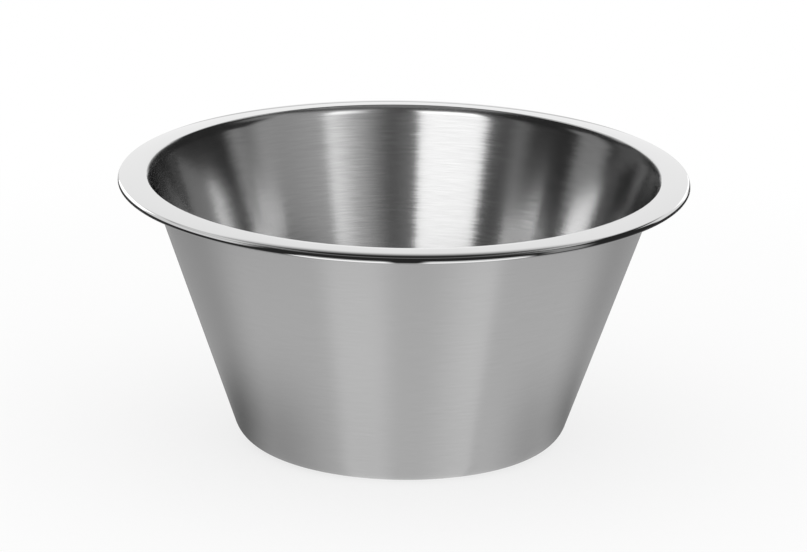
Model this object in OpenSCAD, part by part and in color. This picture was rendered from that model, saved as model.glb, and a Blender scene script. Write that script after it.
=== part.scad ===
// Conical prep bowl: one stainless steel sheet, drawn into a cone, flared and flanged into a
// crowned brim, and turned down and tucked in at the lip. Millimetres, +Z up, origin at the middle of
// the base on the table.

/* [Overall] */
// Outside diameter over the lip
rim_d = 240; // [230:1:260]
// Height from the table to the top of the brim
height = 115; // [90:1:125]
// Thickness of the steel sheet
sheet = 0.7; // [0.5:0.05:0.9]

/* [Base] */
// Diameter at which the outside of the wall would meet the table
base_d = 134; // [124:1:138]
// Outside radius of the bend between the base and the wall
base_bend = 12.5; // [5:0.5:14]
// Diameter of the flat panel pressed up in the middle of the base
panel_d = 96; // [60:1:100]
// Height of that panel above the table
panel_rise = 0.8; // [0.3:0.1:1.6]
// Radius of the two small bends around the panel
panel_bend = 5; // [3:0.5:6]

/* [Wall] */
// Lean of the wall from upright, in degrees
wall_lean = 19.5; // [16:0.5:20.5]
// Radius, on the food side, of the flare at the top of the wall
flare_bend = 7; // [4:0.5:10]
// Lean of the sheet from upright at the end of that flare, in degrees
flare_lean = 50; // [35:1:60]

/* [Brim] */
// Radius, on the top face, of the bend where the flare turns out into the brim
mouth_bend = 1.2; // [1:0.1:3]
// Slope of the brim, down and outwards, at the mouth and at the lip, in degrees
brim_start = 2; // [0:0.5:4]
brim_end = 8; // [5:0.5:10]

/* [Lip] */
// Outside radius of the bend that turns the edge of the brim down
lip_bend = 1.4; // [1:0.1:3]
// Straight height of the lip between its two bends
lip_skirt = 0.4; // [0.2:0.1:3]
// Outside radius of the roll that tucks the edge of the sheet in under the lip
lip_roll = 1; // [0.95:0.05:1.5]
// How far round the roll goes, in degrees
lip_tuck = 120; // [60:5:150]

/* [Hidden] */

// Steps of the turned solid, and degrees for each straight step along a bend
turn_steps = 240;
bend_step = 6;

rim_r = rim_d / 2;
base_r = base_d / 2;
panel_r = panel_d / 2;

// The step around the panel is two equal and opposite bends with nothing straight between them.
// Each is panel_bend on the sheet's hollow side there.
step_radii = 2 * panel_bend + sheet;
step_angle = acos(1 - panel_rise / step_radii);
step_run = step_radii * sin(step_angle);

// The flare touches the food side of the wall, and the mouth bend goes on from the flare and
// reaches up to the bowl's height
mouth_centre_z = height - mouth_bend;
flare_gain = flare_bend - mouth_bend;
flare_shift = flare_bend - flare_gain * cos(flare_lean - wall_lean);
mouth_centre = [
    base_r + (mouth_centre_z * sin(wall_lean) + flare_shift - sheet) / cos(wall_lean),
    mouth_centre_z
];
flare_centre = mouth_centre + flare_gain * [cos(flare_lean), -sin(flare_lean)];

// The brim is one shallow arc that touches both the mouth bend and the lip bend
brim_start_up = [sin(brim_start), cos(brim_start)];
brim_end_up = [sin(brim_end), cos(brim_end)];
brim_start_r = mouth_centre.x + mouth_bend * brim_start_up.x;
brim_end_r = rim_r - lip_bend * (1 - brim_end_up.x);
brim_bend = (brim_end_r - brim_start_r) / (brim_end_up.x - brim_start_up.x);
brim_centre = mouth_centre + (mouth_bend - brim_bend) * brim_start_up;
lip_centre = brim_centre + (brim_bend - lip_bend) * brim_end_up;
roll_centre = [rim_r - lip_roll, lip_centre.y - lip_skirt];

// Every bend of the sheet from the middle outwards: centre, radius of the face underneath or
// outside, first and last angle, and side. Side is 1 where the centre lies on the food's side
// of the sheet, so the food face is tighter by one thickness, and -1 where it lies on the other.
BENDS = [
    [[panel_r - step_run, panel_rise - panel_bend], panel_bend, 90, 90 - step_angle, -1],
    [[panel_r, panel_bend + sheet], panel_bend + sheet, -90 - step_angle, -90, 1],
    [[base_r - base_bend * (1 / cos(wall_lean) - tan(wall_lean)), base_bend],
        base_bend, -90, -wall_lean, 1],
    [flare_centre, flare_bend - sheet, 180 - wall_lean, 180 - flare_lean, -1],
    [mouth_centre, mouth_bend - sheet, 180 - flare_lean, 90 - brim_start, -1],
    [brim_centre, brim_bend - sheet, 90 - brim_start, 90 - brim_end, -1],
    [lip_centre, lip_bend - sheet, 90 - brim_end, 0, -1],
    [roll_centre, lip_roll - sheet, 0, -lip_tuck, -1]
];

function arc(centre, radius, first, last) =
    let (steps = max(2, ceil(abs(last - first) / bend_step)))
    [for (i = [0 : steps])
        let (a = first + (last - first) * i / steps)
        centre + radius * [cos(a), sin(a)]];

// One face of the sheet, at a depth in from the outside; straight runs join the bends
function face(depth) =
    [for (b = BENDS) each arc(b[0], b[1] - b[4] * depth, b[2], b[3])];

function backwards(points) = [for (i = [len(points) - 1 : -1 : 0]) points[i]];

// Half section of the sheet, closed along the axis
function half_section() = concat(
    [[0, panel_rise]],
    face(0),
    backwards(face(sheet)),
    [[0, panel_rise + sheet]]
);

module bowl() {
    color("silver")
        rotate_extrude($fn = turn_steps)
            polygon(half_section());
}

bowl();
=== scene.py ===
"""A conical stainless steel prep bowl, pressed from one sheet, on a plain studio stage."""
import math
from collections import namedtuple

import bpy
from bpy.props import FloatProperty, FloatVectorProperty, IntProperty, PointerProperty
from bpy.types import Operator, Panel, PropertyGroup
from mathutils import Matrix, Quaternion, Vector


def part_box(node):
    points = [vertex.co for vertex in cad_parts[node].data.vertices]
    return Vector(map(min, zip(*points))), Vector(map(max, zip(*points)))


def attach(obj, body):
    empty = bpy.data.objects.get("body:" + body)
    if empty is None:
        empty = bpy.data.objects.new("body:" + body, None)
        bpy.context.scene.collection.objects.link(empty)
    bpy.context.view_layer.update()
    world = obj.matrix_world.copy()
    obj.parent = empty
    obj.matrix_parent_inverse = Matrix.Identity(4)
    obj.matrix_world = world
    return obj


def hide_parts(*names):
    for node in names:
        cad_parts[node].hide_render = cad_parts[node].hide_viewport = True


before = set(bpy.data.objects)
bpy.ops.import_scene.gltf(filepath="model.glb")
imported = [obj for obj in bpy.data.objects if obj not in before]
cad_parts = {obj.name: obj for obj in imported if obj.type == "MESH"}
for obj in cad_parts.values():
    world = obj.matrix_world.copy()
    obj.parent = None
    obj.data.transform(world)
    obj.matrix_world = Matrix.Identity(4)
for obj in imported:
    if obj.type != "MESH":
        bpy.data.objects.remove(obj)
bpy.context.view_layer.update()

bl_info = {
    "name": "Prep Bowl",
    "version": (1, 0, 0),
    "blender": (4, 5, 0),
    "location": "View3D > Sidebar > Prep Bowl",
    "description": "Turns a conical stainless steel prep bowl and sets up a studio stage for it",
    "category": "Add Mesh",
}

MM = 0.001
DEGREE = math.pi / 180
FULL_TURN = 2 * math.pi
QUARTER_TURN = math.pi / 2

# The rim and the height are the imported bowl's own
BOWL_LOW, BOWL_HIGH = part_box("bowl")
RIM_RADIUS = (BOWL_HIGH.x - BOWL_LOW.x) / 2
HEIGHT = BOWL_HIGH.z

# The largest turn and the longest step between two points of a bend
BEND_STEP = 3 * DEGREE
ARC_STEP = 1 * MM
# How far from a bend a flat stretch gets a ring of its own, so that the bend's shading stays in the
# bend, and the shortest stretch that gets one
BEND_GUARD = 0.6 * MM
SHORTEST_FLAT = 3 * BEND_GUARD
# Points closer than this become one
WELD = 0.0005 * MM
# Faces that meet at more than this show an edge, as at the cut edge of the sheet
SHARP_ANGLE = 40 * DEGREE

# Finishes of the sheet, by number
OUTSIDE, INSIDE, RIM = 0, 1, 2
# The first bend that belongs to the rim, counted from the middle of the base
MOUTH_BEND = 4

# Brushed lines: real ones are about 0.1 mm apart, and are drawn coarser so that they show
LINE_PITCH = 0.5 * MM
LINE_LENGTH = 15 * MM
# How finely the lines break up, and the range that their noise mostly stays in
LINE_DETAIL = 2.0
LINE_BREAKUP = 0.6
NOISE_LOW, NOISE_HIGH = 0.3, 0.7


def linear(value):
    """Linear colour, with alpha, of an sRGB hex value."""
    channels = [int(value[i:i + 2], 16) / 255 for i in (0, 2, 4)]
    return [c / 12.92 if c <= 0.04045 else ((c + 0.055) / 1.055) ** 2.4 for c in channels] + [1.0]


def add(tree, kind, inputs=None, **settings):
    """Adds a node with its settings; each input is a value or the socket that feeds it."""
    node = tree.nodes.new(kind)
    for name, value in settings.items():
        setattr(node, name, value)
    for name, value in (inputs or {}).items():
        if isinstance(value, bpy.types.NodeSocket):
            tree.links.new(value, node.inputs[name])
        else:
            node.inputs[name].default_value = value
    return node


class PrepBowlSizes(PropertyGroup):
    """Sizes of the bowl."""
    rim_radius: FloatProperty(
        name="Rim radius", description="From the axis to the outside of the lip",
        default=RIM_RADIUS, unit="LENGTH")
    height: FloatProperty(
        name="Height", description="From the table to the top of the mouth",
        default=HEIGHT, unit="LENGTH")
    sheet: FloatProperty(
        name="Sheet", description="Thickness of the steel sheet",
        default=0.7 * MM, unit="LENGTH")
    base_radius: FloatProperty(
        name="Base radius", description="Where the outside of the wall would meet the table",
        default=67 * MM, unit="LENGTH")
    base_bend: FloatProperty(
        name="Base bend", description="Outside radius of the bend from base to wall",
        default=12.5 * MM, unit="LENGTH")
    panel_radius: FloatProperty(
        name="Panel radius", description="Radius of the raised middle of the base",
        default=48 * MM, unit="LENGTH")
    panel_rise: FloatProperty(
        name="Panel rise", description="How far the middle of the base stands off the table",
        default=0.8 * MM, unit="LENGTH")
    panel_bend: FloatProperty(
        name="Panel bend", description="Radius of the two small bends at the edge of the raised middle",
        default=5 * MM, unit="LENGTH")
    wall_lean: FloatProperty(
        name="Wall lean", description="How far the wall leans out from upright",
        default=19.5 * DEGREE, subtype="ANGLE")
    flare_bend: FloatProperty(
        name="Flare bend", description="Food side radius of the flare at the top of the wall",
        default=7 * MM, unit="LENGTH")
    flare_lean: FloatProperty(
        name="Flare lean", description="How far the sheet leans out from upright at the end of the flare",
        default=50 * DEGREE, subtype="ANGLE")
    mouth_bend: FloatProperty(
        name="Mouth bend", description="Top face radius of the bend from flare to brim",
        default=1.2 * MM, unit="LENGTH")
    brim_start: FloatProperty(
        name="Brim start", description="Downward slope of the brim where it leaves the mouth",
        default=2 * DEGREE, subtype="ANGLE")
    brim_end: FloatProperty(
        name="Brim end", description="Downward slope of the brim where it meets the lip",
        default=8 * DEGREE, subtype="ANGLE")
    lip_bend: FloatProperty(
        name="Lip bend", description="Outside radius of the bend from brim to lip",
        default=1.4 * MM, unit="LENGTH")
    lip_skirt: FloatProperty(
        name="Lip skirt", description="Length of the upright stretch of the lip",
        default=0.4 * MM, unit="LENGTH")
    lip_roll: FloatProperty(
        name="Lip roll", description="Outside radius of the edge rolled in under the lip",
        default=1 * MM, unit="LENGTH")
    lip_tuck: FloatProperty(
        name="Lip tuck", description="How far the edge is rolled in from upright",
        default=120 * DEGREE, subtype="ANGLE")
    steps_around: IntProperty(
        name="Steps around", description="Number of facets in a full turn",
        default=288, min=24)


class PrepBowlFinish(PropertyGroup):
    """Colours of the steel and the stage."""
    steel: FloatVectorProperty(
        name="Steel", description="Colour of the bare stainless steel",
        size=4, default=linear("CBCBCB"), min=0, max=1, subtype="COLOR")
    floor: FloatVectorProperty(
        name="Floor", description="Colour of the table that the bowl stands on",
        size=4, default=linear("FAFAFA"), min=0, max=1, subtype="COLOR")


def sheet_bends(bowl):
    """Bends of the sheet from the middle of the base to the rolled edge.

    Each is the centre, the radius of the under face, the first and last angle, and the side that the
    centre lies on: 1 for the food side, -1 for the under side.
    """
    lean = bowl.wall_lean
    step_radii = 2 * bowl.panel_bend + bowl.sheet
    step_angle = math.acos(1 - bowl.panel_rise / step_radii)
    step_run = step_radii * math.sin(step_angle)
    step_start = Vector((bowl.panel_radius - step_run, bowl.panel_rise - bowl.panel_bend))
    step_end = Vector((bowl.panel_radius, bowl.panel_bend + bowl.sheet))
    base_run = bowl.base_radius - bowl.base_bend * (1 / math.cos(lean) - math.tan(lean))
    base = Vector((base_run, bowl.base_bend))
    # The flare touches the food side of the wall, and the mouth bend goes on from the flare
    flare_gain = bowl.flare_bend - bowl.mouth_bend
    flare_shift = bowl.flare_bend - flare_gain * math.cos(bowl.flare_lean - lean)
    mouth_height = bowl.height - bowl.mouth_bend
    mouth_run = (mouth_height * math.sin(lean) + flare_shift - bowl.sheet) / math.cos(lean)
    mouth = Vector((bowl.base_radius + mouth_run, mouth_height))
    flare = mouth + flare_gain * Vector((math.cos(bowl.flare_lean), -math.sin(bowl.flare_lean)))
    # The brim is one shallow arc that touches both the mouth bend and the lip bend
    start_up = Vector((math.sin(bowl.brim_start), math.cos(bowl.brim_start)))
    end_up = Vector((math.sin(bowl.brim_end), math.cos(bowl.brim_end)))
    brim_from = mouth.x + bowl.mouth_bend * start_up.x
    brim_to = bowl.rim_radius - bowl.lip_bend * (1 - end_up.x)
    brim_bend = (brim_to - brim_from) / (end_up.x - start_up.x)
    brim = mouth + start_up * (bowl.mouth_bend - brim_bend)
    lip = brim + end_up * (brim_bend - bowl.lip_bend)
    roll = Vector((bowl.rim_radius - bowl.lip_roll, lip.y - bowl.lip_skirt))
    start_angle = QUARTER_TURN - bowl.brim_start
    end_angle = QUARTER_TURN - bowl.brim_end
    return [
        (step_start, bowl.panel_bend, QUARTER_TURN, QUARTER_TURN - step_angle, -1),
        (step_end, bowl.panel_bend + bowl.sheet, -QUARTER_TURN - step_angle, -QUARTER_TURN, 1),
        (base, bowl.base_bend, -QUARTER_TURN, -lean, 1),
        (flare, bowl.flare_bend - bowl.sheet, math.pi - lean, math.pi - bowl.flare_lean, -1),
        (mouth, bowl.mouth_bend - bowl.sheet, math.pi - bowl.flare_lean, start_angle, -1),
        (brim, brim_bend - bowl.sheet, start_angle, end_angle, -1),
        (lip, bowl.lip_bend - bowl.sheet, end_angle, 0, -1),
        (roll, bowl.lip_roll - bowl.sheet, 0, -bowl.lip_tuck, -1),
    ]


def face_points(bowl, depth):
    """Points of one face of the sheet from the axis to the cut edge.

    Each comes with the number of the bend that it is in or comes after.
    """
    points = [(Vector((0, bowl.panel_rise + depth)), 0)]
    for number, (centre, radius, first, last, side) in enumerate(sheet_bends(bowl)):
        swing = abs(last - first)
        steps = max(2, math.ceil(swing / BEND_STEP), math.ceil(swing * radius / ARC_STEP))
        arc = []
        for i in range(steps + 1):
            angle = first + (last - first) * i / steps
            arc.append(centre + (radius - side * depth) * Vector((math.cos(angle), math.sin(angle))))
        flat = arc[0] - points[-1][0]
        if flat.length > SHORTEST_FLAT:
            guard = flat.normalized() * BEND_GUARD
            if number:
                points.append((points[-1][0] + guard, number - 1))
            points.append((arc[0] - guard, number - 1))
        if flat.length < WELD:
            arc.pop(0)
        points.extend((point, number) for point in arc)
    return points


def half_section(bowl):
    """Outline of half the sheet, under face first, with the finish of the stretch after each point."""
    under = face_points(bowl, 0)
    food = face_points(bowl, bowl.sheet)[::-1]
    outline = [(point, OUTSIDE) for point, bend in under]
    outline[-1] = (under[-1][0], RIM)
    for i, (point, bend) in enumerate(food):
        bend_after = food[min(i + 1, len(food) - 1)][1]
        outline.append((point, RIM if bend_after >= MOUTH_BEND else INSIDE))
    return outline


def section_mesh(bowl):
    """The half section as a line of points, with its finish and the length run so far."""
    outline = half_section(bowl)
    points = [point for point, finish in outline]
    finishes = [finish for point, finish in outline]
    runs = [0.0]
    for start, end in zip(points, points[1:]):
        runs.append(runs[-1] + (end - start).length)
    mesh = bpy.data.meshes.new("half_section")
    edges = [(i, i + 1) for i in range(len(points) - 1)]
    mesh.from_pydata([(point.x, 0, point.y) for point in points], edges, [])
    mesh.attributes.new("run", "FLOAT", "POINT").data.foreach_set("value", runs)
    mesh.attributes.new("finish", "INT", "POINT").data.foreach_set("value", finishes)
    return mesh


def turning_tree():
    """Geometry nodes that turn a half section once round the axis and dress it by its finish."""
    tree = bpy.data.node_groups.new("Turned sheet", "GeometryNodeTree")
    tree.is_modifier = True
    interface = tree.interface
    sockets = {}
    for name, kind in (
            ("Section", "NodeSocketGeometry"),
            ("Steps Around", "NodeSocketInt"),
            ("Grain Radius", "NodeSocketFloat"),
            ("Outside Finish", "NodeSocketMaterial"),
            ("Inside Finish", "NodeSocketMaterial"),
            ("Rim Finish", "NodeSocketMaterial")):
        sockets[name] = interface.new_socket(name, in_out="INPUT", socket_type=kind).identifier
    interface.new_socket("Bowl", in_out="OUTPUT", socket_type="NodeSocketGeometry")
    given = add(tree, "NodeGroupInput").outputs
    section = given["Section"]

    # One grid column for each point of the section, one row for each step around and one to close it
    count = add(tree, "GeometryNodeAttributeDomainSize", {"Geometry": section}, component="MESH")
    last = add(tree, "ShaderNodeMath", {
        0: count.outputs["Point Count"], 1: 1.0}, operation="SUBTRACT")
    closing = add(tree, "ShaderNodeMath", {0: given["Steps Around"], 1: 1.0}, operation="ADD")
    grid = add(tree, "GeometryNodeMeshGrid", {
        "Vertices X": count.outputs["Point Count"], "Vertices Y": closing.outputs[0]})
    place = add(tree, "ShaderNodeSeparateXYZ", {"Vector": grid.outputs["UV Map"]})
    # A quarter is added because corners read a whole number here and faces a half, and both round down
    column = add(tree, "ShaderNodeMath", {
        0: place.outputs["X"], 1: last.outputs[0], 2: 0.25}, operation="MULTIPLY_ADD")
    turn = add(tree, "ShaderNodeMath", {0: place.outputs["Y"], 1: FULL_TURN}, operation="MULTIPLY")

    sampled = {}
    for name, kind in (("run", "FLOAT"), ("finish", "INT")):
        value = add(tree, "GeometryNodeInputNamedAttribute", {"Name": name}, data_type=kind)
        sampled[name] = add(tree, "GeometryNodeSampleIndex", {
            "Geometry": section, "Value": value.outputs["Attribute"], "Index": column.outputs[0]},
            data_type=kind, domain="POINT").outputs["Value"]
    position = add(tree, "GeometryNodeInputPosition")
    point = add(tree, "GeometryNodeSampleIndex", {
        "Geometry": section, "Value": position.outputs["Position"], "Index": column.outputs[0]},
        data_type="FLOAT_VECTOR", domain="POINT")
    turned = add(tree, "ShaderNodeVectorRotate", {
        "Vector": point.outputs["Value"], "Angle": turn.outputs[0]}, rotation_type="Z_AXIS")
    shell = add(tree, "GeometryNodeSetPosition", {
        "Geometry": grid.outputs["Mesh"], "Position": turned.outputs["Vector"]})

    # The UV map is in metres: along the section, then round the bowl at the grain radius
    around = add(tree, "ShaderNodeMath", {
        0: turn.outputs[0], 1: given["Grain Radius"]}, operation="MULTIPLY")
    metres = add(tree, "ShaderNodeCombineXYZ", {"X": sampled["run"], "Y": around.outputs[0]})
    mapped = add(tree, "GeometryNodeStoreNamedAttribute", {
        "Geometry": shell.outputs[0], "Name": "UVMap", "Value": metres.outputs["Vector"]},
        data_type="FLOAT2", domain="CORNER")
    marked = add(tree, "GeometryNodeStoreNamedAttribute", {
        "Geometry": mapped.outputs[0], "Name": "finish", "Value": sampled["finish"]},
        data_type="INT", domain="FACE")
    closed = add(tree, "GeometryNodeMergeByDistance", {"Geometry": marked.outputs[0], "Distance": WELD})
    smooth = add(tree, "GeometryNodeSetShadeSmooth", {"Geometry": closed.outputs[0]})
    dressed = add(tree, "GeometryNodeRealizeInstances", {"Geometry": smooth.outputs[0]})
    finish = add(tree, "GeometryNodeInputNamedAttribute", {"Name": "finish"}, data_type="INT")
    for number, name in ((OUTSIDE, "Outside Finish"), (INSIDE, "Inside Finish"), (RIM, "Rim Finish")):
        chosen = add(tree, "ShaderNodeMath", {
            0: finish.outputs["Attribute"], 1: float(number), 2: 0.5}, operation="COMPARE")
        dressed = add(tree, "GeometryNodeSetMaterial", {
            "Geometry": dressed.outputs[0], "Selection": chosen.outputs[0], "Material": given[name]})
    add(tree, "NodeGroupOutput", {"Bowl": dressed.outputs[0]})
    return tree, sockets


def steel_material(name, colour, roughness, stretch, line_roughness, line_rise, line_sway, line_tone):
    """Bare stainless steel with fine lines that run round the bowl.

    The stretch draws reflections out across the lines. The lines change the roughness and the tone by
    a share of each, and tip the surface along the section by the rise and round the bowl by the sway.
    """
    material = bpy.data.materials.new(name)
    material.use_nodes = True
    tree = material.node_tree
    tree.nodes.clear()
    # The grain is read along the section and round the circle, so that it closes on itself
    uv = add(tree, "ShaderNodeUVMap", uv_map="UVMap")
    along = add(tree, "ShaderNodeSeparateXYZ", {"Vector": uv.outputs["UV"]})
    ring = add(tree, "ShaderNodeMath", {
        0: along.outputs["X"], 1: 1 / LINE_PITCH}, operation="MULTIPLY")
    height = add(tree, "ShaderNodeCombineXYZ", {"Z": ring.outputs[0]})
    place = add(tree, "ShaderNodeTexCoord")
    level = add(tree, "ShaderNodeVectorMath", {
        0: place.outputs["Object"], 1: (1, 1, 0)}, operation="MULTIPLY")
    spoke = add(tree, "ShaderNodeVectorMath", {0: level.outputs[0]}, operation="NORMALIZE")
    stretched = add(tree, "ShaderNodeVectorMath", {
        0: spoke.outputs[0], "Scale": RIM_RADIUS / LINE_LENGTH}, operation="SCALE")
    grain = add(tree, "ShaderNodeVectorMath", {
        0: stretched.outputs[0], 1: height.outputs[0]}, operation="ADD")
    lines = add(tree, "ShaderNodeTexNoise", {
        "Vector": grain.outputs[0], "Scale": 1.0, "Detail": LINE_DETAIL, "Roughness": LINE_BREAKUP})
    rough = add(tree, "ShaderNodeMapRange", {
        "Value": lines.outputs["Fac"], "From Min": NOISE_LOW, "From Max": NOISE_HIGH,
        "To Min": roughness * (1 - line_roughness), "To Max": roughness * (1 + line_roughness)})
    dull = add(tree, "ShaderNodeMapRange", {
        "Value": lines.outputs["Fac"], "From Min": NOISE_LOW, "From Max": NOISE_HIGH,
        "To Min": 1 - line_tone, "To Max": 1 + line_tone})
    tone = add(tree, "ShaderNodeVectorMath", {
        0: colour[:3], "Scale": dull.outputs["Result"]}, operation="SCALE")
    # Each line tips the surface a little, along the section and round the circle
    tip = add(tree, "ShaderNodeVectorMath", {
        0: lines.outputs["Color"], 1: (line_rise, line_sway, 0),
        2: ((1 - line_rise) / 2, (1 - line_sway) / 2, 1)}, operation="MULTIPLY_ADD")
    combed = add(tree, "ShaderNodeNormalMap", {
        "Color": tip.outputs[0]}, space="TANGENT", uv_map="UVMap")
    tangent = add(tree, "ShaderNodeTangent", direction_type="UV_MAP", uv_map="UVMap")
    steel = add(tree, "ShaderNodeBsdfPrincipled", {
        "Base Color": tone.outputs[0], "Metallic": 1.0, "Roughness": rough.outputs["Result"],
        "Anisotropic": stretch, "Normal": combed.outputs["Normal"], "Tangent": tangent.outputs["Tangent"]})
    add(tree, "ShaderNodeOutputMaterial", {"Surface": steel.outputs["BSDF"]})
    return material


def bowl_materials(colour):
    """The three finishes of the sheet.

    All three are cold-rolled stainless steel that a spinning wheel has gone over, so the finest lines
    run round the bowl and draw every reflection out into an upright band.
    """
    return {
        # Satin: soft upright bands with no clear image in them
        "Outside Finish": steel_material(
            "Satin brushed stainless steel", colour, roughness=0.24, stretch=0.5,
            line_roughness=0.05, line_rise=0.01, line_sway=0.01, line_tone=0.02),
        # Fine brushed: bands with clear edges, combed by the lines and streaked a little by them
        "Inside Finish": steel_material(
            "Fine brushed stainless steel", colour, roughness=0.17, stretch=0.7,
            line_roughness=0.1, line_rise=0.02, line_sway=0.018, line_tone=0.045),
        # Buffed bright: a mirror, with no lines that the eye can see
        "Rim Finish": steel_material(
            "Buffed stainless steel", colour, roughness=0.0, stretch=0.0,
            line_roughness=0.0, line_rise=0.002, line_sway=0.002, line_tone=0.0),
    }


class PREPBOWL_OT_turn_bowl(Operator):
    """Turn the bowl from its half section."""
    bl_idname = "prepbowl.turn_bowl"
    bl_label = "Turn Bowl"

    def execute(self, context):
        bowl = context.scene.prep_bowl_sizes
        piece = bpy.data.objects.new("bowl_shell", section_mesh(bowl))
        context.scene.collection.objects.link(piece)
        tree, sockets = turning_tree()
        turning = piece.modifiers.new("Turned sheet", "NODES")
        turning.node_group = tree
        turning[sockets["Steps Around"]] = bowl.steps_around
        turning[sockets["Grain Radius"]] = bowl.rim_radius
        for name, material in bowl_materials(context.scene.prep_bowl_finish.steel).items():
            turning[sockets[name]] = material
        ready = piece.evaluated_get(context.evaluated_depsgraph_get())
        mesh = bpy.data.meshes.new_from_object(ready)
        if not mesh.polygons:
            raise RuntimeError("the bowl came out with no faces")
        piece.modifiers.remove(turning)
        piece.data = mesh
        mesh.name = "bowl_shell"
        mesh.set_sharp_from_angle(angle=SHARP_ANGLE)
        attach(piece, "root")
        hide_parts("bowl")
        return {"FINISHED"}


# The table, the light and the camera

FLOOR_RADIUS = 0.45
# Where the table starts to fade into the white surround
FLOOR_FADE = 0.3
FLOOR_CORNERS = 96
# How much of the table's white is its own, which keeps the shadow on it light
FLOOR_GLOW = 0.75

# Soft light panels round the bowl, which only the steel sees. Angles are in degrees: the direction of
# the middle, counted from the camera to the right, the half width, how soft the left and right ends
# are, the lowest and highest edge, and how soft those are. The half width grows by the spread with
# each degree above the horizon. The level is the brightness.
SoftPanel = namedtuple("SoftPanel", "name direction half_width left right low high fade spread level")
# The panels that the brushed walls mirror; where they overlap, they add up
WALL_PANELS = (
    SoftPanel("key softbox", -23.2, 16.5, 2.5, 1.5, 5, 47, 4, 0, 1.4),
    SoftPanel("key top", -23.2, 16.5, 2.5, 1.5, 31, 42, 3, 0, 0.9),
    SoftPanel("fill softbox", 34, 4.5, 7.5, 3, 10, 44, 4, 0, 0.57),
    SoftPanel("fill top", 31.5, 9, 7, 3, 28, 47, 3, 0, 0.9),
    SoftPanel("right wall", 45.5, 30.5, 10, 5, -20, 56, 6, 0, 0.36),
    SoftPanel("right wall end", 82.5, 7, 5, 5, -20, 14.8, 0.8, 0, 0.42),
    SoftPanel("right top", 88, 14, 8, 8, 42, 58, 5, 0, 0.25),
    SoftPanel("left strip", -57, 4, 5, 5, 0, 33, 3, 0, 0.15),
    SoftPanel("left wall", -98, 9.5, 5, 4, 0, 33, 3, 0, 0.24),
    SoftPanel("far left wall", -128, 14, 8, 8, 0, 25, 3, 0, 0.08),
    SoftPanel("front haze", 0, 52, 10, 10, 0, 60, 5, 0, 0.08),
    SoftPanel("low front haze", -2, 5, 5, 5, 0, 25, 4, 0, 0.09),
    SoftPanel("low backdrop", 180, 16, 4, 4, -30, 4, 1.6, 0, 1.1),
    SoftPanel("backdrop", 180, 13, 4, 4, 4, 29.8, 1.6, 0.85, 1.08),
    SoftPanel("backdrop glow", 180, 5, 5, 5, 17, 25, 5, 0, 0.25),
    SoftPanel("left canopy", -150, 18, 4, 6, 33, 58, 4, 0, 0.85),
    SoftPanel("right canopy", 146, 18, 5, 5, 49, 62, 4, 0, 0.95),
    SoftPanel("ceiling", 0, 200, 10, 10, 66, 130, 6, 0, 0.2),
    SoftPanel("overhead softbox", 180, 90, 20, 20, 70, 130, 5, 0, 0.55),
)
# The panels that the buffed rim mirrors. It is a perfect mirror, so its rays can be told from those off
# the walls. Where these panels overlap, the brighter one counts.
RIM_PANELS = (
    SoftPanel("low backdrop", 180, 16, 4, 4, -30, 4, 2.5, 0, 1.1),
    SoftPanel("backdrop", 180, 13, 4, 4, 4, 29.5, 2.5, 0.85, 1.17),
    SoftPanel("backdrop middle", 180, 6, 6, 6, 16, 25, 4, 0, 1.3),
    SoftPanel("left wall", -120, 54, 3, 9, -5, 38, 5, 0, 0.98),
    SoftPanel("left canopy", -125, 38, 6, 9, 38, 59, 5, 0, 0.9),
    SoftPanel("right wall", 137, 18, 4, 4, -2, 31, 3.5, 0, 1.1),
    SoftPanel("right shoulder", 163, 10, 3, 3, 29, 46, 4, 0, 0.85),
    SoftPanel("right canopy", 125, 28, 6, 4, 49, 62, 3, 0, 0.7),
    SoftPanel("right gap", 69, 10, 6, 6, -20, 50, 5, 0, 0.36),
    SoftPanel("low key", -24, 18, 3, 3, -30, -15, 2, 0, 0.55),
    SoftPanel("low fill", 30, 21, 3, 6, -30, -13.5, 3, 0, 0.75),
    SoftPanel("ceiling", 180, 100, 20, 20, 62, 130, 5, 0, 0.22),
)
# The room between the panels
ROOM_LEVEL = 0.03

# Small strip lights beside the rim, which show low on the inside. The direction is in degrees, as for
# the panels, and the length and the heights of the two edges are in millimetres.
StripLight = namedtuple("StripLight", "name direction length low high level")
STRIP_DISTANCE = 130 * MM
STRIP_LIGHTS = (
    StripLight("left strip light", -86, 62, 115, 134, 1.05),
    StripLight("right strip light", 98, 44, 115, 135, 0.45),
)
# Watts for each square metre of a lamp that shows with a brightness of 1
LAMP_POWER = 4

# What the steel mirrors of the table: a glow of painted light and painted shade that fans out from a point
# under the bowl's front wall, where the rays off that wall seem to come from. Angles are in degrees, from
# the camera to the right.
FAN_CENTRE = -33.5 * MM
# Each painted light or painted shade adds its close, near and far brightness to the level of the table
# there.
FanLight = namedtuple("FanLight", "name start end start_soft end_soft close near far")
# Distances from the bowl's axis over which a light goes from close to near, and from near to far
FAN_CLOSE = (80 * MM, 140 * MM)
WALL_FAN_FAR = (215 * MM, 255 * MM)
RIM_FAN_FAR = (185 * MM, 215 * MM)
# For the brushed walls
WALL_FAN_LEVEL = 0.42
WALL_FAN_LIGHTS = (
    FanLight("front", -95, 105, 15, 15, 0.23, 0.23, -0.3),
    FanLight("key", -38, -8, 6, 9, 0.1, 0.16, 0.0),
    FanLight("fill", 26, 47, 16, 3, 0.12, 0.18, 0.0),
    FanLight("left shade", -130, -54, 20, 25, -0.25, 0.0, -0.08),
    FanLight("right shade", 70, 130, 15, 15, -0.18, 0.0, 0.0),
)
# For the buffed rim: painted dark beyond the bowl's foot, with painted light of the key and the fill in it
RIM_FAN_LEVEL = 0.45
RIM_FAN_LIGHTS = (
    FanLight("surround", -200, 200, 5, 5, 0.0, 0.0, -0.39),
    FanLight("key", -43, -5, 3, 3, 0.0, 1.0, 1.5),
    FanLight("fill", 8, 49, 3, 3, 0.0, 0.7, 1.5),
)

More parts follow.
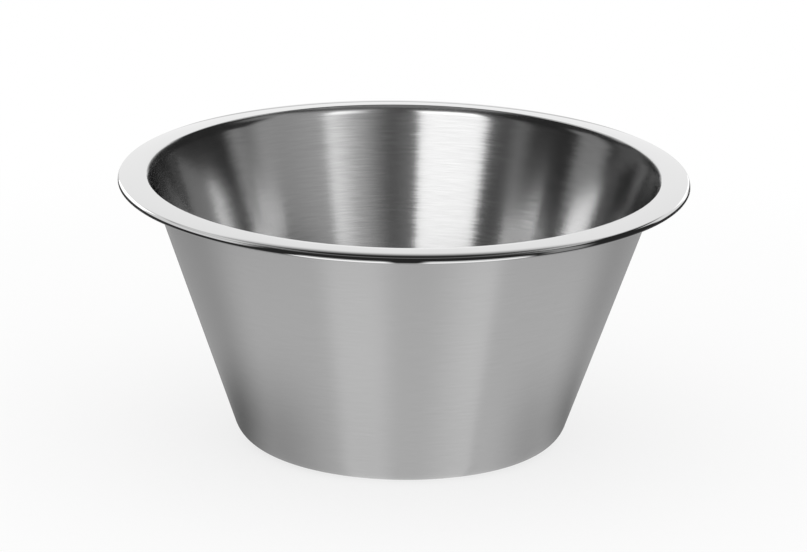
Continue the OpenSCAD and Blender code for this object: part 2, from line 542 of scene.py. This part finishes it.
CAMERA_DISTANCE = 3.12
CAMERA_ELEVATION = 16.055 * DEGREE
CAMERA_ROLL = 0.898 * DEGREE
CAMERA_AIM = Vector((0.37 * MM, 0, 70.34 * MM))
CAMERA_LENS = 332.2


def keep_within(tree, level, edges):
    """The level inside soft edges, and nothing beyond them.

    Each edge is the angle that crosses it, then where it lies and how soft it is, in degrees. The
    softness is negative where the light ends.
    """
    for angle, edge, soft in edges:
        inside = add(tree, "ShaderNodeMapRange", {
            "Value": angle.outputs[0],
            "From Min": (edge - soft) * DEGREE, "From Max": (edge + soft) * DEGREE},
            interpolation_type="SMOOTHSTEP")
        kept = add(tree, "ShaderNodeMath", {
            0: inside.outputs["Result"], 1: level}, operation="MULTIPLY")
        level = kept.outputs[0]
    return level


def room_light(tree, turn, rise, panels, operation):
    """Brightness of a dim room with soft light panels, by direction."""
    room = ROOM_LEVEL
    for panel in panels:
        off = add(tree, "ShaderNodeMath", {
            0: turn.outputs[0], 1: panel.direction * DEGREE}, operation="SUBTRACT")
        aside = add(tree, "ShaderNodeMath", {
            0: off.outputs[0], 1: -math.pi, 2: math.pi}, operation="WRAP")
        from_left, from_right = [add(tree, "ShaderNodeMath", {
            0: rise.outputs[0], 1: spread, 2: aside.outputs[0]}, operation="MULTIPLY_ADD")
            for spread in (panel.spread, -panel.spread)]
        level = keep_within(tree, panel.level, (
            (from_left, -panel.half_width, panel.left),
            (from_right, panel.half_width, -panel.right),
            (rise, panel.low, panel.fade),
            (rise, panel.high, -panel.fade)))
        room = add(tree, "ShaderNodeMath", {0: level, 1: room}, operation=operation).outputs[0]
    return room


def studio_world():
    """A white surround; the steel mirrors a dim room with soft light panels instead."""
    world = bpy.data.worlds.new("Studio")
    world.use_nodes = True
    # Rays sort out what they see by their kind, which light sampling would mix up
    world.cycles.sampling_method = "NONE"
    tree = world.node_tree
    tree.nodes.clear()
    place = add(tree, "ShaderNodeTexCoord")
    way = add(tree, "ShaderNodeSeparateXYZ", {"Vector": place.outputs["Generated"]})
    front = add(tree, "ShaderNodeMath", {0: way.outputs["Y"], 1: -1.0}, operation="MULTIPLY")
    turn = add(tree, "ShaderNodeMath", {
        0: way.outputs["X"], 1: front.outputs[0]}, operation="ARCTAN2")
    rise = add(tree, "ShaderNodeMath", {0: way.outputs["Z"]}, operation="ARCSINE")
    walls = room_light(tree, turn, rise, WALL_PANELS, "ADD")
    rim = room_light(tree, turn, rise, RIM_PANELS, "MAXIMUM")
    light_path = add(tree, "ShaderNodeLightPath")
    room = add(tree, "ShaderNodeMix", {
        "Factor": light_path.outputs["Is Singular Ray"], "A": walls, "B": rim}, data_type="FLOAT")
    level = add(tree, "ShaderNodeMix", {
        "Factor": light_path.outputs["Is Glossy Ray"],
        "A": 1.0, "B": room.outputs["Result"]}, data_type="FLOAT")
    background = add(tree, "ShaderNodeBackground", {
        "Color": (1, 1, 1, 1), "Strength": level.outputs["Result"]})
    add(tree, "ShaderNodeOutputWorld", {"Surface": background.outputs[0]})
    return world


def fan_light(tree, far, turn, base, lights, bands):
    """Painted brightness of the table: painted light and painted shade that fan out over it."""
    away = [add(tree, "ShaderNodeMapRange", {
        "Value": far.outputs["Value"], "From Min": begin, "From Max": end},
        interpolation_type="SMOOTHSTEP").outputs["Result"] for begin, end in bands]
    glow = base
    for light in lights:
        level = light.close
        for out, gain in zip(away, (light.near - light.close, light.far - light.near)):
            changed = add(tree, "ShaderNodeMath", {
                0: out, 1: gain, 2: level}, operation="MULTIPLY_ADD")
            level = changed.outputs[0]
        level = keep_within(tree, level, (
            (turn, light.start, light.start_soft),
            (turn, light.end, -light.end_soft)))
        glow = add(tree, "ShaderNodeMath", {0: level, 1: glow}, operation="ADD").outputs[0]
    return glow


def floor_material(colour):
    """Matt white table that fades into the white surround; the steel sees it glow with painted light and
    shade.
    """
    material = bpy.data.materials.new("Matt white laminate")
    material.use_nodes = True
    material.cycles.emission_sampling = "NONE"
    tree = material.node_tree
    tree.nodes.clear()
    # Laminate has no shine here: an even white with a light, soft shadow
    place = add(tree, "ShaderNodeTexCoord")
    far = add(tree, "ShaderNodeVectorMath", {0: place.outputs["Object"]}, operation="LENGTH")
    fade = add(tree, "ShaderNodeMapRange", {
        "Value": far.outputs["Value"], "From Min": FLOOR_FADE, "From Max": FLOOR_RADIUS,
        "To Min": FLOOR_GLOW, "To Max": 1.0}, interpolation_type="SMOOTHSTEP")
    matt = add(tree, "ShaderNodeBsdfDiffuse", {"Color": colour})
    white = add(tree, "ShaderNodeEmission", {"Strength": 1.0})
    seen = add(tree, "ShaderNodeMixShader", {
        0: fade.outputs["Result"], 1: matt.outputs[0], 2: white.outputs[0]})

    # For glossy rays the table glows with painted light and painted shade, which no lamp casts
    spot = add(tree, "ShaderNodeSeparateXYZ", {"Vector": place.outputs["Object"]})
    front = add(tree, "ShaderNodeMath", {
        0: FAN_CENTRE, 1: spot.outputs["Y"]}, operation="SUBTRACT")
    turn = add(tree, "ShaderNodeMath", {
        0: spot.outputs["X"], 1: front.outputs[0]}, operation="ARCTAN2")
    walls = fan_light(tree, far, turn, WALL_FAN_LEVEL, WALL_FAN_LIGHTS, (FAN_CLOSE, WALL_FAN_FAR))
    rim = fan_light(tree, far, turn, RIM_FAN_LEVEL, RIM_FAN_LIGHTS, (FAN_CLOSE, RIM_FAN_FAR))
    light_path = add(tree, "ShaderNodeLightPath")
    glow = add(tree, "ShaderNodeMix", {
        "Factor": light_path.outputs["Is Singular Ray"], "A": walls, "B": rim}, data_type="FLOAT")
    lit = add(tree, "ShaderNodeEmission", {"Strength": glow.outputs["Result"]})
    either = add(tree, "ShaderNodeMixShader", {
        0: light_path.outputs["Is Glossy Ray"], 1: seen.outputs[0], 2: lit.outputs[0]})
    add(tree, "ShaderNodeOutputMaterial", {"Surface": either.outputs[0]})
    return material


def floor_disc(colour):
    """A round table top."""
    turns = [FULL_TURN * i / FLOOR_CORNERS for i in range(FLOOR_CORNERS)]
    corners = [(FLOOR_RADIUS * math.cos(turn), FLOOR_RADIUS * math.sin(turn), 0) for turn in turns]
    mesh = bpy.data.meshes.new("floor")
    mesh.from_pydata(corners, [], [range(FLOOR_CORNERS)])
    mesh.materials.append(floor_material(colour))
    return bpy.data.objects.new("floor", mesh)


def strip_light(strip):
    """A strip light that faces the bowl and shows only in the steel."""
    lamp = bpy.data.lights.new(strip.name, "AREA")
    lamp.shape = "RECTANGLE"
    lamp.size = strip.length * MM
    lamp.size_y = (strip.high - strip.low) * MM
    lamp.energy = LAMP_POWER * strip.level * lamp.size * lamp.size_y
    piece = bpy.data.objects.new(strip.name, lamp)
    out = Vector((math.sin(strip.direction * DEGREE), -math.cos(strip.direction * DEGREE), 0))
    piece.location = out * STRIP_DISTANCE + Vector((0, 0, (strip.low + strip.high) / 2 * MM))
    piece.rotation_mode = "QUATERNION"
    piece.rotation_quaternion = (-out).to_track_quat("-Z", "Y")
    piece.visible_camera = False
    piece.visible_diffuse = False
    return piece


def front_camera(height):
    """A long lens that looks down into the mouth from the front."""
    lens = bpy.data.cameras.new("camera")
    lens.lens = CAMERA_LENS
    camera = bpy.data.objects.new("camera", lens)
    mouth = Vector((0, 0, height))
    back = Vector((0, -math.cos(CAMERA_ELEVATION), math.sin(CAMERA_ELEVATION)))
    camera.location = mouth + back * CAMERA_DISTANCE
    level = (CAMERA_AIM - camera.location).to_track_quat("-Z", "Y")
    camera.rotation_mode = "QUATERNION"
    camera.rotation_quaternion = level @ Quaternion((0, 0, 1), CAMERA_ROLL)
    return camera


class PREPBOWL_OT_set_stage(Operator):
    """Lay the table, light the room and place the camera."""
    bl_idname = "prepbowl.set_stage"
    bl_label = "Set Stage"

    def execute(self, context):
        scene = context.scene
        floor = floor_disc(scene.prep_bowl_finish.floor)
        scene.collection.objects.link(floor)
        for strip in STRIP_LIGHTS:
            scene.collection.objects.link(strip_light(strip))
        scene.world = studio_world()
        scene.view_settings.view_transform = "Standard"
        camera = front_camera(scene.prep_bowl_sizes.height)
        scene.collection.objects.link(camera)
        scene.camera = camera
        return {"FINISHED"}


class PREPBOWL_PT_sidebar(Panel):
    """Sizes, colours and steps of the prep bowl."""
    bl_label = "Prep Bowl"
    bl_idname = "PREPBOWL_PT_sidebar"
    bl_space_type = "VIEW_3D"
    bl_region_type = "UI"
    bl_category = "Prep Bowl"

    def draw(self, context):
        column = self.layout.column()
        for group in (context.scene.prep_bowl_sizes, context.scene.prep_bowl_finish):
            for name in group.__annotations__:
                column.prop(group, name)
        column.operator(PREPBOWL_OT_turn_bowl.bl_idname)
        column.operator(PREPBOWL_OT_set_stage.bl_idname)


CLASSES = (
    PrepBowlSizes,
    PrepBowlFinish,
    PREPBOWL_OT_turn_bowl,
    PREPBOWL_OT_set_stage,
    PREPBOWL_PT_sidebar,
)


def register():
    for kind in CLASSES:
        bpy.utils.register_class(kind)
    bpy.types.Scene.prep_bowl_sizes = PointerProperty(type=PrepBowlSizes)
    bpy.types.Scene.prep_bowl_finish = PointerProperty(type=PrepBowlFinish)


def unregister():
    del bpy.types.Scene.prep_bowl_finish
    del bpy.types.Scene.prep_bowl_sizes
    for kind in reversed(CLASSES):
        bpy.utils.unregister_class(kind)


def main():
    register()
    bpy.ops.prepbowl.turn_bowl()
    bpy.ops.prepbowl.set_stage()


if __name__ == "__main__":
    main()
